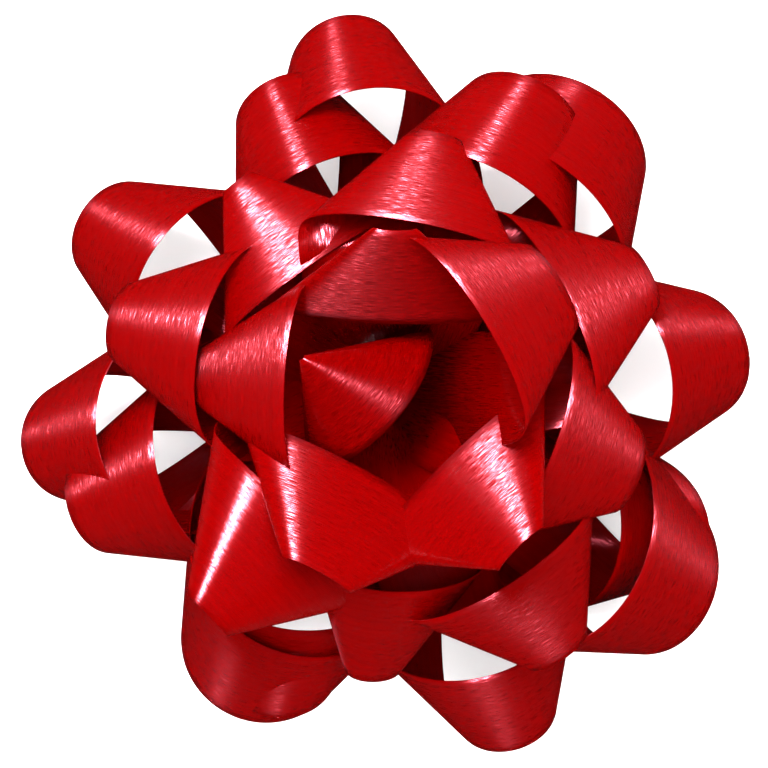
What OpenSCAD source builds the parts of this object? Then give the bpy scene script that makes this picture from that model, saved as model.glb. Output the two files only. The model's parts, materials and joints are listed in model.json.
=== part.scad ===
// Pre-made gift bow: a star bow wound from one ribbon over a centre pin, stapled through a card disc,
// with a double-sided foam pad and a peel-off release liner underneath.
// Frame: millimetres, origin at the middle of the base, +Z up, +Y towards the back of the bow.

/* [Ribbon] */
// Ribbon width
ribbon_w = 19; // [17:0.5:20]
// Ribbon thickness
ribbon_t = 0.2; // [0.15:0.01:0.22]
// Height that each pass of the ribbon takes up at the staple
pass_pitch = 0.25; // [0.24:0.01:0.3]

/* [Staple] */
// Wire diameter
wire_d = 0.6; // [0.5:0.1:0.8]
// Length of the crown
staple_w = 6; // [5:0.5:8]

/* [Card disc] */
// Diameter
card_d = 30; // [28:1:34]
// Thickness
card_t = 1.5; // [1.2:0.1:2]

/* [Adhesive pad] */
// Diameter
pad_d = 26; // [24:1:28]
// Foam thickness
pad_t = 1.6; // [1.4:0.1:2]

/* [Release liner] */
// Diameter
liner_d = 27; // [26:1:30]
// Thickness of the paper
liner_t = 0.2; // [0.2:0.05:0.4]
// Width of the pull tab
tab_w = 9; // [8:0.5:12]
// How far the tab reaches past the liner's edge
tab_l = 7; // [5:0.5:9]

/* [Hidden] */
// Height at which the first pass of the ribbon lies
pin_z = liner_t + pad_t + card_t + 1;
// Length of ribbon over which a loop lifts away from the staple
skirt = 22;
// How far short of the pin's middle a loop stops
end_gap = 1.2;
// How far apart the two legs of an upright loop stand
leg_spread = 0.75;
// Steps along a loop, the share of them that is evenly spaced, and their greatest slant
steps = 40;
even_share = 0.4;
slant_limit = 0.8;
// Distance over which the ribbon's slope is measured
probe = 0.3;
// How far round the cone the unrolling table reaches, and its steps
full_turn = 270;
turn_steps = 72;

// One row per loop of the ribbon, in winding order: direction seen from above, rise of the legs at the
// pin, ribbon length, upright and sideways half-angles of the cone it opens into, sideways lean, and how
// high the loops under it lift it. Angles in degrees, lengths in mm.
LOOPS = [
    [7, -6, 131, 20, 20, 9, 0],
    [150, -5, 122, 20, 22, -3, 0],
    [290, -4, 133, 21, 24, -5, 0],
    [55, -10, 139, 17, 18, 7, 1],
    [190, -6, 129, 21, 20, -3, 0],
    [328, -10, 145, 19, 19, 15, 1],
    [98, -6, 129, 21, 21, 8, 0],
    [245, -12, 136, 18, 16, 0, 0],
    [339, -4, 127, 21, 21, 35, 0],
    [111, 3, 115, 20, 22, 7, 0],
    [253, 0, 121, 21, 22, 16, 4],
    [63, 2, 122, 19, 22, 1, 5],
    [201, 3, 121, 20, 22, -9, 0],
    [340, -17, 92, 13, 28, 0, 37],
    [126, -10, 78, 9, 33, 2, 32],
    [266, -12, 97, 15, 29, -38, 30],
    [22, -20, 98, 12, 31, -15, 35],
    [167, -8, 94, 16, 26, 5, 24],
    [303, -12, 107, 14, 31, -4, 28],
    [78, -22, 86, 10, 32, -4, 40],
    [232, 42, 125, 16, 32, -14, 4],
    [30, -29, 76, 9, 26, -4, 50],
    [178, -25, 65, 9, 29, 3, 43],
    [310, 55, 118, 10, 35, 5, 4],
    [86, 63, 106, 8, 36, 2, 4],
    [250, 55, 116, 10, 34, -11, 4],
    [162, 75, 98, 21, 30, -28, 0]
];

function unit(v) = v / norm(v);
function smooth(x) = let (u = min(max(x, 0), 1)) u * u * (3 - 2 * u);

// The cone that a loop lies on, in its own axes: along the axis, up and sideways.
function generator(turn, fv, fl) = unit([1, tan(fv) * cos(turn), tan(fl) * sin(turn)]);

// [unrolled angle, turn] pairs for one half of the cone, so that the flat ribbon wraps it unstretched.
function unroll(fv, fl) = [
    for (i = 0, turn = 0, a = 0; i <= turn_steps;
         i = i + 1,
         turn = i * full_turn / turn_steps,
         a = a + acos(min(1, generator(turn, fv, fl)
             * generator(turn - full_turn / turn_steps, fv, fl))))
        [a, turn]
];

// A point of the flat ribbon (s along it, t across it) on the cone, the pin at the origin, before it is
// lifted and turned. The back of the cone runs from the pin to the tip at the legs' rise.
function on_cone(s, t, row, wrap, half_angle) =
    let (
        rise = row[1], reach = row[2] / 2 / sin(half_angle), depth = reach * cos(half_angle),
        out = norm([s, depth + t]), a = atan2(s, depth + t),
        turn = sign(a) * lookup(abs(a), wrap),
        g = generator(turn, row[3], row[4]),
        along = 180 + rise - row[3], up = 90 + rise - row[3],
        x = reach * cos(rise) + out * (g[0] * cos(along) + g[1] * cos(up)),
        y = out * g[2],
        z = reach * sin(rise) + out * (g[0] * sin(along) + g[1] * sin(up)),
        b = [cos(rise), 0, sin(rise)], p = [x, y, z], k = row[5]
    )
    p * cos(k) + cross(b, p) * sin(k) + b * (b * p) * (1 - cos(k));

// The same point in the bow: flat at the staple, where the passes lie on top of each other, then
// climbing over the loops below it.
function on_bow(s, t, i, wrap, half_angle) =
    let (
        row = LOOPS[i], p = on_cone(s, t, row, wrap, half_angle),
        away = smooth((row[2] / 2 - abs(s)) / skirt),
        pass = smooth(s / row[2] + 0.5),
        x = p[0] - away * leg_spread * pass * sin(row[1]),
        z = pin_z + pass_pitch * (i + pass) + away * (row[6] + p[2]),
        q = row[0]
    )
    [x * cos(q) - p[1] * sin(q), x * sin(q) + p[1] * cos(q), z];

// Where ring k crosses the ribbon: its place along the middle and how far it slants. The rings are
// closest at the folds and follow the cone's straight lines there, and stand square at the pin.
function place(k, row, unwrap, half_angle) =
    let (
        u = 2 * k / steps - 1, half = row[2] / 2, depth = half / tan(half_angle),
        a = sign(u) * lookup(180 * abs(u), unwrap),
        s = (even_share * half * u + (1 - even_share) * depth * tan(a)) * (1 - end_gap / half)
    )
    [s, min(max(s / depth, -slant_limit), slant_limit) * smooth((half - abs(s)) / skirt)];

// Square to the ribbon's face.
function face_normal(s, t, i, wrap, half_angle) =
    unit(cross(
        on_bow(s + probe, t, i, wrap, half_angle) - on_bow(s - probe, t, i, wrap, half_angle),
        on_bow(s, t + probe, i, wrap, half_angle) - on_bow(s, t - probe, i, wrap, half_angle)));

// Six corners of the ribbon's section: three on its upper face, three on its lower face.
function ring(at, i, wrap, half_angle) =
    let (
        ts = [-0.5, 0, 0.5] * ribbon_w,
        mid = [for (t = ts) on_bow(at[0] + at[1] * t, t, i, wrap, half_angle)],
        off = [for (t = ts) ribbon_t / 2 * face_normal(at[0] + at[1] * t, t, i, wrap, half_angle)]
    )
    [mid[0] + off[0], mid[1] + off[1], mid[2] + off[2],
     mid[2] - off[2], mid[1] - off[1], mid[0] - off[0]];

module ribbon_loop(i) {
    row = LOOPS[i];
    wrap = unroll(row[3], row[4]);
    unwrap = [for (w = wrap) [w[1], w[0]]];
    half_angle = lookup(180, unwrap);
    rings = [for (k = [0:steps]) ring(place(k, row, unwrap, half_angle), i, wrap, half_angle)];
    points = [for (r = rings) for (p = r) p];
    // Both faces of the ribbon are split along the same diagonals, so that it stays equally thick.
    sides = [
        for (k = [0:steps - 1]) for (j = [0:5])
            let (a = 6 * k + j, b = 6 * k + (j + 1) % 6)
            each j < 3 ? [[a, b, a + 6], [b, b + 6, a + 6]] : [[a, b, b + 6], [a, b + 6, a + 6]]
    ];
    last = 6 * steps;
    ends = [
        [0, 5, 1], [1, 5, 4], [1, 4, 2], [2, 4, 3],
        [last, last + 1, last + 5], [last + 1, last + 4, last + 5],
        [last + 1, last + 2, last + 4], [last + 2, last + 3, last + 4]
    ];
    color([0.8, 0.02, 0.03]) polyhedron(points, concat(sides, ends), convexity = 6);
}

module wire_staple() {
    top = pin_z + pass_pitch * (len(LOOPS) + 1) + wire_d;
    bottom = liner_t + pad_t + card_t;
    color([0.72, 0.73, 0.75]) {
        translate([0, 0, top]) rotate([0, 90, 0]) cylinder(h = staple_w, d = wire_d, center = true, $fn = 24);
        for (side = [-1, 1]) {
            translate([side * (staple_w - wire_d) / 2, 0, bottom])
                cylinder(h = top - bottom, d = wire_d, $fn = 24);
        }
    }
}

module card_disc() {
    color([0.74, 0.68, 0.58]) translate([0, 0, liner_t + pad_t]) cylinder(h = card_t, d = card_d, $fn = 96);
}

module adhesive_pad() {
    color([0.93, 0.93, 0.9]) translate([0, 0, liner_t]) cylinder(h = pad_t, d = pad_d, $fn = 96);
}

module release_liner() {
    color([0.85, 0.9, 0.95]) {
        cylinder(h = liner_t, d = liner_d, $fn = 96);
        translate([0, -tab_w / 2, 0]) cube([liner_d / 2 + tab_l - tab_w / 2, tab_w, liner_t]);
        translate([liner_d / 2 + tab_l - tab_w / 2, 0, 0]) cylinder(h = liner_t, d = tab_w, $fn = 48);
    }
}

release_liner();
adhesive_pad();
card_disc();
wire_staple();
for (i = [1:len(LOOPS)]) {
    ribbon_loop(i - 1);
}
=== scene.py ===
"""A red ready-made gift bow: one satin ribbon wound into loops over a staple, on a card disc with a
foam adhesive pad and its release liner, seen from straight above."""

import json
import math

import bpy
import numpy as np
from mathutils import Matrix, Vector

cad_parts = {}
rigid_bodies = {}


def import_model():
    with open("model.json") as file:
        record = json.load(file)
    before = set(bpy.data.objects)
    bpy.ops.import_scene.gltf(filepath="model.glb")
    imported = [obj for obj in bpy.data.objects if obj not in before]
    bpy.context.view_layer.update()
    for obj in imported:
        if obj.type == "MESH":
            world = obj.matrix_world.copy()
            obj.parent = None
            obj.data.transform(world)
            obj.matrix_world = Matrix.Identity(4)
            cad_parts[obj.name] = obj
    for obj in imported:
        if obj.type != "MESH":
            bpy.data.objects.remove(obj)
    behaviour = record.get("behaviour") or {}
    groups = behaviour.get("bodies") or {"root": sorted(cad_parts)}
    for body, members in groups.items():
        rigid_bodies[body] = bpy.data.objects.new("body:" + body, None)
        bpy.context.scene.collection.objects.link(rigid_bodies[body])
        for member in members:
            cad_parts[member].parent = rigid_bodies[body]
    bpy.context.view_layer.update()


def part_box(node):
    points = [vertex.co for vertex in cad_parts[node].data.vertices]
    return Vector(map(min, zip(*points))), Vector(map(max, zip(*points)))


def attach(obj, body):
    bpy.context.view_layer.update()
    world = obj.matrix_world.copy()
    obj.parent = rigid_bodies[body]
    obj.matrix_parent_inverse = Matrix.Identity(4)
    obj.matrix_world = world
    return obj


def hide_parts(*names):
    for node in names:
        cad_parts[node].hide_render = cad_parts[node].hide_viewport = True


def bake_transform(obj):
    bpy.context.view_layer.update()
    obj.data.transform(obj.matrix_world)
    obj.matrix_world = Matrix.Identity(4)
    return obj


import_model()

MM = 0.001

# ---------------------------------------------------------------- sizes, mm
RIBBON_W = 19.0
RIBBON_T = 0.12
LINER_T = 0.1
# height of the lowest pass over the staple's pin, and the step from one pass to the next
PIN_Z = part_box("card_disc")[1][2] / MM + 1.0
PASS_PITCH = 0.25
# how far from the pin a loop takes to rise from its pass into its own place
SKIRT = 22.0
# bare ribbon left off each end of a loop, and the gap kept between the two legs of a steep one
END_GAP = 1.2
LEG_SPREAD = 0.75
# mesh of a loop: lines around it and across it, the share of them that is evenly spaced, and the
# most that they slant to follow the cone
AROUND = 180
ACROSS = 12
EVEN_SHARE = 0.5
SLANT_LIMIT = 0.8

# One row per loop, in winding order: direction seen from above, rise of the legs at the pin, ribbon
# length in mm, upright and sideways half-angles of the cone it opens into, sideways lean, and lift
# in mm. Angles are in degrees. The rows are largely rounded results of a separate least-squares fit
# to outline points read off the photograph, and some were changed afterwards.
LOOPS = [
    (7, -6, 131, 20, 20, 9, 0),
    (150, -5, 122, 20, 22, -3, 0),
    (290, -4, 133, 21, 24, -5, 0),
    (55, -10, 139, 17, 18, 7, 1),
    (190, -6, 129, 21, 20, -3, 0),
    (328, -10, 145, 19, 19, 15, 1),
    (98, -6, 129, 21, 21, 8, 0),
    (245, -12, 136, 18, 16, 0, 0),
    (339, -4, 127, 21, 21, 35, 0),
    (111, 3, 115, 20, 22, 7, 0),
    (253, 0, 121, 21, 22, 16, 4),
    (63, 2, 122, 19, 22, 1, 5),
    (201, 3, 121, 20, 22, -9, 0),
    (340, -17, 92, 13, 28, 0, 37),
    (126, -10, 78, 9, 33, 2, 32),
    (266, -12, 97, 15, 29, -38, 30),
    (22, -20, 98, 12, 31, -15, 35),
    (167, -8, 94, 16, 26, 5, 24),
    (303, -12, 107, 14, 31, -4, 28),
    (78, -22, 86, 10, 32, -4, 40),
    (232, 42, 125, 16, 32, -14, 4),
    (30, -29, 76, 9, 26, -4, 50),
    (178, -25, 65, 9, 29, 3, 43),
    (310, 55, 118, 10, 35, 5, 4),
    (86, 63, 106, 8, 36, 2, 4),
    (250, 55, 116, 10, 34, -11, 4),
    (162, 75, 98, 21, 30, -28, 0),
]


# ---------------------------------------------------------------- ribbon shape
def smooth(x):
    u = np.clip(x, 0.0, 1.0)
    return u * u * (3.0 - 2.0 * u)


def generators(turn, height, width):
    """Unit directions of the cone's straight lines: along its axis, up and sideways."""
    g = np.stack(
        [
            np.ones_like(turn),
            math.tan(height) * np.cos(turn),
            math.tan(width) * np.sin(turn),
        ],
        -1,
    )
    return g / np.linalg.norm(g, axis=-1, keepdims=True)


def unroll(height, width):
    """Turns about the cone and the angle each has reached when the cone is rolled out flat."""
    turns = np.linspace(0.0, 1.5 * math.pi, 541)
    lines = generators(turns, height, width)
    steps = np.arccos(np.clip((lines[1:] * lines[:-1]).sum(-1), -1.0, 1.0))
    return turns, np.concatenate([[0.0], np.cumsum(steps)])


def loop_surface(index, s, t):
    """Points of one loop in mm, for places s along the ribbon and t across it."""
    azimuth, rise, length, height, width, lean, lift = LOOPS[index]
    azimuth, rise, height, width, lean = (
        math.radians(v) for v in (azimuth, rise, height, width, lean)
    )
    turns, unrolled = unroll(height, width)
    half_angle = np.interp(math.pi, turns, unrolled)
    reach = length / 2 / math.sin(half_angle)
    depth = reach * math.cos(half_angle)

    out = np.hypot(s, depth + t)
    angle = np.arctan2(s, depth + t)
    turn = np.sign(angle) * np.interp(np.abs(angle), unrolled, turns)
    g = generators(turn, height, width)
    along, up = math.pi + rise - height, math.pi / 2 + rise - height
    x = reach * math.cos(rise) + out * (g[..., 0] * math.cos(along) + g[..., 1] * math.cos(up))
    y = out * g[..., 2]
    z = reach * math.sin(rise) + out * (g[..., 0] * math.sin(along) + g[..., 1] * math.sin(up))
    p = np.stack([x, y, z], -1)
    b = np.array([math.cos(rise), 0.0, math.sin(rise)])
    p = (
        p * math.cos(lean)
        + np.cross(np.broadcast_to(b, p.shape), p) * math.sin(lean)
        + (p @ b)[..., None] * b * (1 - math.cos(lean))
    )
    away = smooth((length / 2 - np.abs(s)) / SKIRT)
    passes = smooth(s / length + 0.5)
    x = p[..., 0] - away * LEG_SPREAD * passes * math.sin(rise)
    y = p[..., 1]
    z = PIN_Z + PASS_PITCH * (index + passes) + away * (lift + p[..., 2])
    return np.stack(
        [
            x * math.cos(azimuth) - y * math.sin(azimuth),
            x * math.sin(azimuth) + y * math.cos(azimuth),
            z,
        ],
        -1,
    )


def cross_lines(index):
    """Places s and t of the mesh's lines across the ribbon, closest where it folds.

    They lie along the cone's own straight lines, so that the fold has a clean outline."""
    length, height, width = LOOPS[index][2:5]
    turns, unrolled = unroll(math.radians(height), math.radians(width))
    half = length / 2
    depth = half / math.tan(np.interp(math.pi, turns, unrolled))
    u = np.linspace(-1.0, 1.0, AROUND)
    angle = np.sign(u) * np.interp(math.pi * np.abs(u), turns, unrolled)
    s = EVEN_SHARE * half * u + (1 - EVEN_SHARE) * depth * np.tan(angle)
    s *= 1 - END_GAP / half
    slant = np.clip(s / depth, -SLANT_LIMIT, SLANT_LIMIT) * smooth((half - np.abs(s)) / SKIRT)
    t = np.linspace(-RIBBON_W / 2, RIBBON_W / 2, ACROSS + 1)[None, :]
    return s[:, None] + slant[:, None] * t, np.broadcast_to(t, (AROUND, ACROSS + 1))


def strip_object(name, points, s, t, thickness):
    """A closed strip around a grid of points in mm, with its own flat lengths in metres as UVs."""
    rows, cols = points.shape[:2]
    du = np.gradient(points, axis=0)
    dv = np.gradient(points, axis=1)
    normal = np.cross(du, dv)
    normal /= np.linalg.norm(normal, axis=-1, keepdims=True)
    top = points + normal * thickness / 2
    bottom = points - normal * thickness / 2
    verts = np.concatenate([top.reshape(-1, 3), bottom.reshape(-1, 3)]) * MM
    n = rows * cols
    faces, smooth_faces = [], []
    for i in range(rows - 1):
        for j in range(cols - 1):
            a, b = i * cols + j, (i + 1) * cols + j
            c, d = b + 1, a + 1
            faces += [(a, b, c, d), (n + d, n + c, n + b, n + a)]
            smooth_faces += [True, True]
    for i in range(rows - 1):
        for a, b in ((i * cols, (i + 1) * cols), ((i + 2) * cols - 1, (i + 1) * cols - 1)):
            faces.append((b, a, n + a, n + b))
            smooth_faces.append(False)
    last = (rows - 1) * cols
    for j in range(cols - 1):
        faces.append((j, j + 1, n + j + 1, n + j))
        faces.append((last + j + 1, last + j, n + last + j, n + last + j + 1))
        smooth_faces += [False, False]
    mesh = bpy.data.meshes.new(name)
    mesh.from_pydata(verts.tolist(), [], faces)
    mesh.polygons.foreach_set("use_smooth", smooth_faces)
    uv = mesh.uv_layers.new(name="UVMap")
    flat = np.stack([np.broadcast_to(t, (rows, cols)), np.broadcast_to(s, (rows, cols))], -1)
    flat = np.concatenate([flat.reshape(-1, 2)] * 2) * MM
    corner = np.empty(len(mesh.loops), np.int32)
    mesh.loops.foreach_get("vertex_index", corner)
    uv.data.foreach_set("uv", flat[corner].ravel().astype(np.float32))
    mesh.validate()
    obj = bpy.data.objects.new(name, mesh)
    bpy.context.collection.objects.link(obj)
    return obj


# ---------------------------------------------------------------- materials
def new_material(name):
    mat = bpy.data.materials.new(name)
    mat.use_nodes = True
    tree = mat.node_tree
    return mat, tree, tree.nodes["Principled BSDF"]


def link(tree, a, b):
    tree.links.new(a, b)


def node(tree, kind, **values):
    made = tree.nodes.new(kind)
    for key, value in values.items():
        if key in made.inputs:
            made.inputs[key].default_value = value
        else:
            setattr(made, key, value)
    return made


def ribbon_material():
    """Red satin polypropylene, its grain along the ribbon spreading the gloss across it."""
    mat, tree, bsdf = new_material("red_satin_ribbon")
    bsdf.inputs["Roughness"].default_value = 0.24
    bsdf.inputs["Anisotropic"].default_value = 1.0
    bsdf.inputs["Specular IOR Level"].default_value = 0.08
    bsdf.inputs["Specular Tint"].default_value = (1.0, 0.14, 0.19, 1)
    uv = node(tree, "ShaderNodeUVMap", uv_map="UVMap")
    across = node(tree, "ShaderNodeTangent", direction_type="UV_MAP", uv_map="UVMap")
    link(tree, across.outputs[0], bsdf.inputs["Tangent"])

    def streaks(per_metre_across, per_metre_along, detail):
        place = node(tree, "ShaderNodeMapping")
        place.inputs["Scale"].default_value = (per_metre_across, per_metre_along, 1)
        link(tree, uv.outputs[0], place.inputs[0])
        noise = node(tree, "ShaderNodeTexNoise", Scale=1.0, Detail=detail, Roughness=0.6)
        link(tree, place.outputs[0], noise.inputs["Vector"])
        return noise.outputs[0]

    crease = node(tree, "ShaderNodeBump", Strength=0.15, Distance=0.0006)
    link(tree, streaks(330, 18, 2.0), crease.inputs["Height"])
    along = node(tree, "ShaderNodeVectorMath", operation="CROSS_PRODUCT")
    link(tree, crease.outputs[0], along.inputs[0])
    link(tree, across.outputs[0], along.inputs[1])

    # Each filament of the grain tips the gloss: far to its sides, which draws the bands out across
    # the ribbon, and a little along the ribbon, which frays their edges. cut is the share of the
    # grain's range at either end that is tipped by the whole reach.
    def tipped(normal, direction, height, reach, cut):
        amount = node(tree, "ShaderNodeMapRange")
        amount.inputs["From Min"].default_value = cut
        amount.inputs["From Max"].default_value = 1 - cut
        amount.inputs["To Min"].default_value = -reach
        amount.inputs["To Max"].default_value = reach
        link(tree, height, amount.inputs[0])
        shift = node(tree, "ShaderNodeVectorMath", operation="SCALE")
        link(tree, direction, shift.inputs[0])
        link(tree, amount.outputs[0], shift.inputs["Scale"])
        total = node(tree, "ShaderNodeVectorMath", operation="ADD")
        link(tree, normal, total.inputs[0])
        link(tree, shift.outputs[0], total.inputs[1])
        return total.outputs[0]

    normal = tipped(
        crease.outputs[0], across.outputs[0], streaks(9000, 500, 2.0), reach=0.75, cut=0.25
    )
    normal = tipped(normal, along.outputs[0], streaks(5200, 240, 3.0), reach=0.05, cut=0.0)
    unit = node(tree, "ShaderNodeVectorMath", operation="NORMALIZE")
    link(tree, normal, unit.inputs[0])
    link(tree, unit.outputs[0], bsdf.inputs["Normal"])

    ramp = node(tree, "ShaderNodeValToRGB")
    ramp.color_ramp.elements[0].position = 0.3
    ramp.color_ramp.elements[0].color = (0.072, 0.0, 0.0, 1)
    ramp.color_ramp.elements[1].position = 0.7
    ramp.color_ramp.elements[1].color = (0.088, 0.0, 0.0, 1)
    link(tree, streaks(1500, 40, 3.0), ramp.inputs[0])
    link(tree, ramp.outputs[0], bsdf.inputs["Base Color"])
    return mat


def wire_material():
    mat, tree, bsdf = new_material("staple_wire")
    bsdf.inputs["Metallic"].default_value = 1.0
    bsdf.inputs["Base Color"].default_value = (0.62, 0.63, 0.65, 1)
    noise = node(tree, "ShaderNodeTexNoise", Scale=3000.0, Detail=3.0)
    rough = node(tree, "ShaderNodeMapRange")
    rough.inputs["To Min"].default_value = 0.22
    rough.inputs["To Max"].default_value = 0.4
    link(tree, noise.outputs[0], rough.inputs[0])
    link(tree, rough.outputs[0], bsdf.inputs["Roughness"])
    return mat


def card_material():
    mat, tree, bsdf = new_material("chipboard")
    bsdf.inputs["Roughness"].default_value = 0.9
    position = node(tree, "ShaderNodeTexCoord")
    flecks = node(tree, "ShaderNodeTexNoise", Scale=900.0, Detail=6.0, Roughness=0.7)
    link(tree, position.outputs["Object"], flecks.inputs["Vector"])
    ramp = node(tree, "ShaderNodeValToRGB")
    ramp.color_ramp.elements[0].color = (0.30, 0.24, 0.17, 1)
    ramp.color_ramp.elements[1].color = (0.55, 0.47, 0.36, 1)
    link(tree, flecks.outputs[0], ramp.inputs[0])
    link(tree, ramp.outputs[0], bsdf.inputs["Base Color"])
    bump = node(tree, "ShaderNodeBump", Strength=0.4, Distance=0.0001)
    link(tree, flecks.outputs[0], bump.inputs["Height"])
    link(tree, bump.outputs[0], bsdf.inputs["Normal"])
    return mat


def foam_material():
    mat, tree, bsdf = new_material("white_foam")
    bsdf.inputs["Base Color"].default_value = (0.82, 0.82, 0.79, 1)
    bsdf.inputs["Roughness"].default_value = 0.85
    position = node(tree, "ShaderNodeTexCoord")
    cells = node(tree, "ShaderNodeTexVoronoi", Scale=2600.0)
    link(tree, position.outputs["Object"], cells.inputs["Vector"])
    bump = node(tree, "ShaderNodeBump", Strength=0.6, Distance=0.00012)
    link(tree, cells.outputs["Distance"], bump.inputs["Height"])
    link(tree, bump.outputs[0], bsdf.inputs["Normal"])
    return mat


def liner_material():
    mat, tree, bsdf = new_material("slick_liner_paper")
    bsdf.inputs["Base Color"].default_value = (0.80, 0.84, 0.88, 1)
    bsdf.inputs["Roughness"].default_value = 0.3
    bsdf.inputs["Coat Weight"].default_value = 0.4
    position = node(tree, "ShaderNodeTexCoord")
    fibres = node(tree, "ShaderNodeTexNoise", Scale=1500.0, Detail=5.0)
    link(tree, position.outputs["Object"], fibres.inputs["Vector"])
    bump = node(tree, "ShaderNodeBump", Strength=0.2, Distance=0.00004)
    link(tree, fibres.outputs[0], bump.inputs["Height"])
    link(tree, bump.outputs[0], bsdf.inputs["Normal"])
    return mat


# ---------------------------------------------------------------- pieces
def make_ribbon():
    red = ribbon_material()
    for i in range(len(LOOPS)):
        s, t = cross_lines(i)
        points = loop_surface(i, s, t)
        piece = strip_object(f"ribbon_loop_{i + 1}", points, s, t, RIBBON_T)
        piece.data.materials.append(red)
        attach(piece, "bow")
        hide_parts(f"loop_{i + 1}")


def lathe_object(name, profile, count=96):
    """A closed turned shape from (radius, height) pairs in metres, both ends on the axis."""
    verts, faces = [], []
    rings = profile[1:-1]
    for r, z in rings:
        for a in np.linspace(0, 2 * math.pi, count, False):
            verts.append((r * math.cos(a), r * math.sin(a), z))
    low, high = len(verts), len(verts) + 1
    verts += [(0, 0, profile[0][1]), (0, 0, profile[-1][1])]
    for k in range(len(rings) - 1):
        for j in range(count):
            n = (j + 1) % count
            faces.append((k * count + j, k * count + n, (k + 1) * count + n, (k + 1) * count + j))
    top = (len(rings) - 1) * count
    for j in range(count):
        n = (j + 1) % count
        faces.append((low, n, j))
        faces.append((high, top + j, top + n))
    mesh = bpy.data.meshes.new(name)
    mesh.from_pydata(verts, [], faces)
    mesh.polygons.foreach_set("use_smooth", [True] * len(mesh.polygons))
    obj = bpy.data.objects.new(name, mesh)
    bpy.context.collection.objects.link(obj)
    return obj


def make_pad():
    """The foam disc, its cut edge rounded and swelling a little between its two glue faces."""
    low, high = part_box("adhesive_pad")
    r, z0, z1 = high[0], low[2], high[2]
    belly = edge_in = 0.0002
    edge_up = 0.0001
    profile = [(0, z0), (r - edge_in, z0), (r, z0 + edge_up)]
    for u in (0.25, 0.5, 0.75):
        profile.append((r + belly * math.sin(math.pi * u), z0 + (z1 - z0) * u))
    profile += [(r, z1 - edge_up), (r - edge_in, z1), (0, z1)]
    pad = lathe_object("foam_pad", profile)
    pad.data.materials.append(foam_material())
    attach(pad, "bow")
    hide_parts("adhesive_pad")


def finish_cad_nodes():
    for name, mat in (("wire_staple", wire_material()), ("card_disc", card_material())):
        for obj in bpy.data.objects:
            if obj.name == name and obj.type == "MESH":
                obj.data.materials.clear()
                obj.data.materials.append(mat)


def make_liner():
    """The paper disc and its tab, one thin flat sheet."""
    low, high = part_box("release_liner")
    r, tip = -low[0], high[0]
    tab = 0.0045
    point = 0.0002
    start = math.asin(tab / r)
    xs = np.linspace(low[0], tip, 61)
    across = np.linspace(-1, 1, 13)

    def half_width(x):
        if x <= r * math.cos(start):
            return math.sqrt(max(r * r - x * x, 0.0))
        if x <= tip - tab:
            return tab
        return math.sqrt(max(tab * tab - (x - tip + tab) ** 2, 0.0))

    widths = [max(half_width(x), point) for x in xs]
    middle = (low[2] + high[2]) / 2
    points = np.array([[(x, w * v, middle) for v in across] for x, w in zip(xs, widths)])
    s, t = xs[:, None] / MM, across[None, :] * 10
    liner = strip_object("liner_sheet", points / MM, s, t, LINER_T)
    liner.data.materials.append(liner_material())

    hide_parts("release_liner")
    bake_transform(liner)


# ---------------------------------------------------------------- studio
CAMERA_HEIGHT = 0.6
VIEW_WIDTH = 0.1206
SENSOR = 36.0
FLOOR_HALF = 3.0


def make_camera():
    data = bpy.data.cameras.new("camera")
    data.sensor_width = SENSOR
    data.lens = SENSOR * CAMERA_HEIGHT / VIEW_WIDTH
    camera = bpy.data.objects.new("camera", data)
    camera.location = (0, 0, CAMERA_HEIGHT)
    bpy.context.collection.objects.link(camera)
    bpy.context.scene.camera = camera


def area_light(name, place, target, size, power):
    data = bpy.data.lights.new(name, "AREA")
    data.energy = power
    data.size = size
    lamp = bpy.data.objects.new(name, data)
    lamp.location = place
    lamp.rotation_mode = "QUATERNION"
    lamp.rotation_quaternion = (Vector(target) - Vector(place)).to_track_quat("-Z", "Y")
    bpy.context.collection.objects.link(lamp)
    return lamp


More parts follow.
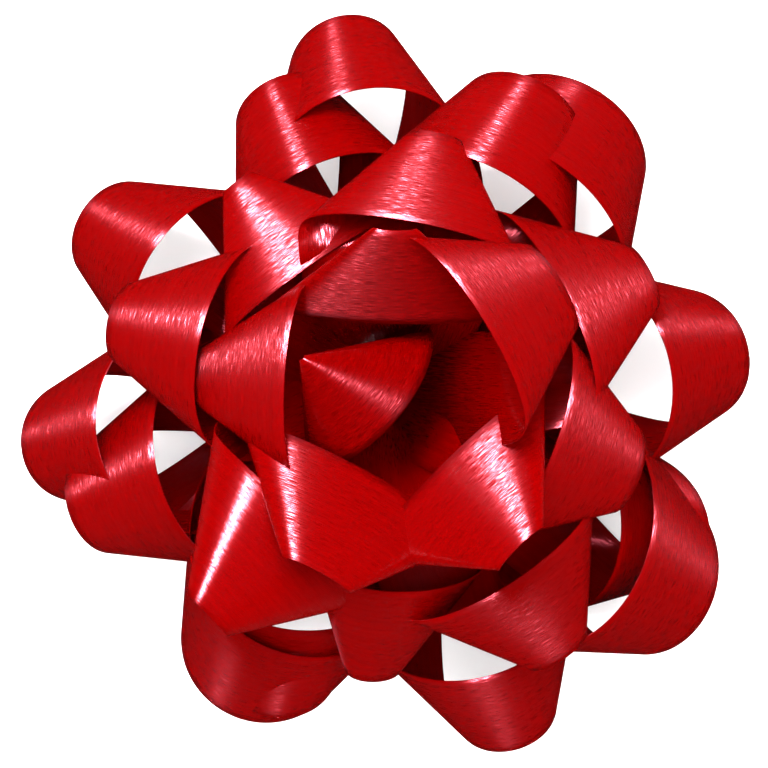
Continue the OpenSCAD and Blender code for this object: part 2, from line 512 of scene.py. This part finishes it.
def make_floor():
    mesh = bpy.data.meshes.new("floor")
    h = FLOOR_HALF
    mesh.from_pydata([(-h, -h, 0), (h, -h, 0), (h, h, 0), (-h, h, 0)], [], [(0, 1, 2, 3)])
    floor = bpy.data.objects.new("floor", mesh)
    bpy.context.collection.objects.link(floor)
    mat, tree, bsdf = new_material("white_floor")
    bsdf.inputs["Base Color"].default_value = (0.9, 0.9, 0.9, 1)
    bsdf.inputs["Roughness"].default_value = 0.9
    bsdf.inputs["Specular IOR Level"].default_value = 0.1
    bsdf.inputs["Emission Color"].default_value = (1, 1, 1, 1)
    bsdf.inputs["Emission Strength"].default_value = 0.22
    mesh.materials.append(mat)
    floor.visible_glossy = False


def make_surround():
    """A big soft tent that lights the ribbon evenly, while its gloss sees a darker room."""
    world = bpy.data.worlds.new("studio")
    bpy.context.scene.world = world
    world.use_nodes = True
    tree = world.node_tree
    surround = tree.nodes["Background"]
    surround.inputs[0].default_value = (1, 1, 1, 1)
    surround.inputs[1].default_value = 2.1
    dim = node(tree, "ShaderNodeBackground", Color=(1, 1, 1, 1), Strength=0.02)
    path = node(tree, "ShaderNodeLightPath")
    mix = node(tree, "ShaderNodeMixShader")
    link(tree, path.outputs["Is Glossy Ray"], mix.inputs[0])
    link(tree, surround.outputs[0], mix.inputs[1])
    link(tree, dim.outputs[0], mix.inputs[2])
    link(tree, mix.outputs[0], tree.nodes["World Output"].inputs["Surface"])


def make_lamps():
    key = area_light("key", (-0.12, 0.45, 0.85), (0, 0, 0.02), 0.5, 34.0)
    key.visible_glossy = False
    fill = area_light("fill", (0.1, -0.2, 1.1), (0, 0, 0), 1.0, 22.0)
    fill.visible_glossy = False
    # the lamp whose reflection draws the bands; its direction was worked out separately from where
    # they lie in the photograph, and rounded
    sheen = area_light("sheen", (-0.14, 0.29, 0.89), (0, 0, 0.02), 0.16, 900.0)
    sheen.visible_diffuse = False
    bpy.context.scene.view_settings.view_transform = "Standard"


make_ribbon()
make_pad()
finish_cad_nodes()
make_liner()
make_camera()
make_floor()
make_surround()
make_lamps()
